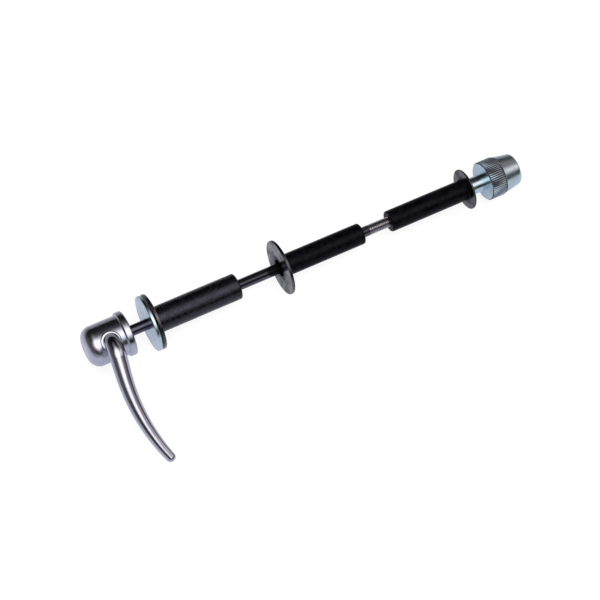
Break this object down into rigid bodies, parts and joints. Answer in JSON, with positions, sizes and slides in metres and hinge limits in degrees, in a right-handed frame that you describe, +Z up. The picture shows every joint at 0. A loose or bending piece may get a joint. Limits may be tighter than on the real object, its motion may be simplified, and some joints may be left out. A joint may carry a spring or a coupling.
{
  "type": "thru-axle adapter",
  "caption": "Quick-release skewer with an internal-cam lever head, flanged sleeves that slide on the rod to fill thru-axle hub bores, a clamp washer and a knurled nut.",
  "frame": {"origin": "on the rod axis, at the shoulder of the 12 mm sleeve's flange", "axes": "+X along the rod from the lever head to the knurled nut, +Z up with the adapter lying on its large flanges and the lever's tip"},
  "size_m": [0.2183, 0.0713, 0.0281],
  "materials": {
    "black_rod": "black oxide steel",
    "chrome": "bright chrome plate on steel",
    "zinc_plate": "clear blue zinc plate on turned steel",
    "black_sleeve": "satin black moulded plastic"
  },
  "bodies": {
    "skewer": {"skewer_rod": "black_rod"},
    "head": {"cam_housing": "chrome"},
    "lever": {"cam_lever": "chrome", "lever_washer": "zinc_plate", "lever_cap_nut": "chrome"},
    "washer": {"clamp_washer": "zinc_plate"},
    "sleeve_12": {"sleeve_12": "black_sleeve"},
    "sleeve_10_left": {"sleeve_10_left": "black_sleeve"},
    "sleeve_10_right": {"sleeve_10_right": "black_sleeve"},
    "nut": {"knurled_nut": "zinc_plate"}
  },
  "joints": [
    {"name": "head_draw", "type": "slide", "parent": "skewer", "child": "head", "axis": [1, 0, 0], "range_m": [-0.002, 0]},
    {"name": "lever_swing", "type": "hinge", "parent": "head", "child": "lever", "pos_m": [-0.02255, 0, 0], "axis": [0, 0.4396, -0.8982], "range_deg": [0, 180]},
    {"name": "washer_slide", "type": "slide", "parent": "skewer", "child": "washer", "axis": [1, 0, 0], "range_m": [-0.0085, 0]},
    {"name": "sleeve_12_slide", "type": "slide", "parent": "skewer", "child": "sleeve_12", "axis": [1, 0, 0], "range_m": [0, 0.0103]},
    {"name": "sleeve_10_left_slide", "type": "slide", "parent": "skewer", "child": "sleeve_10_left", "axis": [1, 0, 0], "range_m": [-0.0103, 0.0068]},
    {"name": "sleeve_10_right_slide", "type": "slide", "parent": "skewer", "child": "sleeve_10_right", "axis": [1, 0, 0], "range_m": [-0.0068, 0.0088]},
    {"name": "nut_turn", "type": "hinge", "parent": "skewer", "child": "nut", "pos_m": [0.1682, 0, 0], "axis": [1, 0, 0], "continuous": true}
  ],
  "couplings": [
    {"joint": "head_draw", "follows": "lever_swing", "m_per_rad": -0.000636}
  ]
}
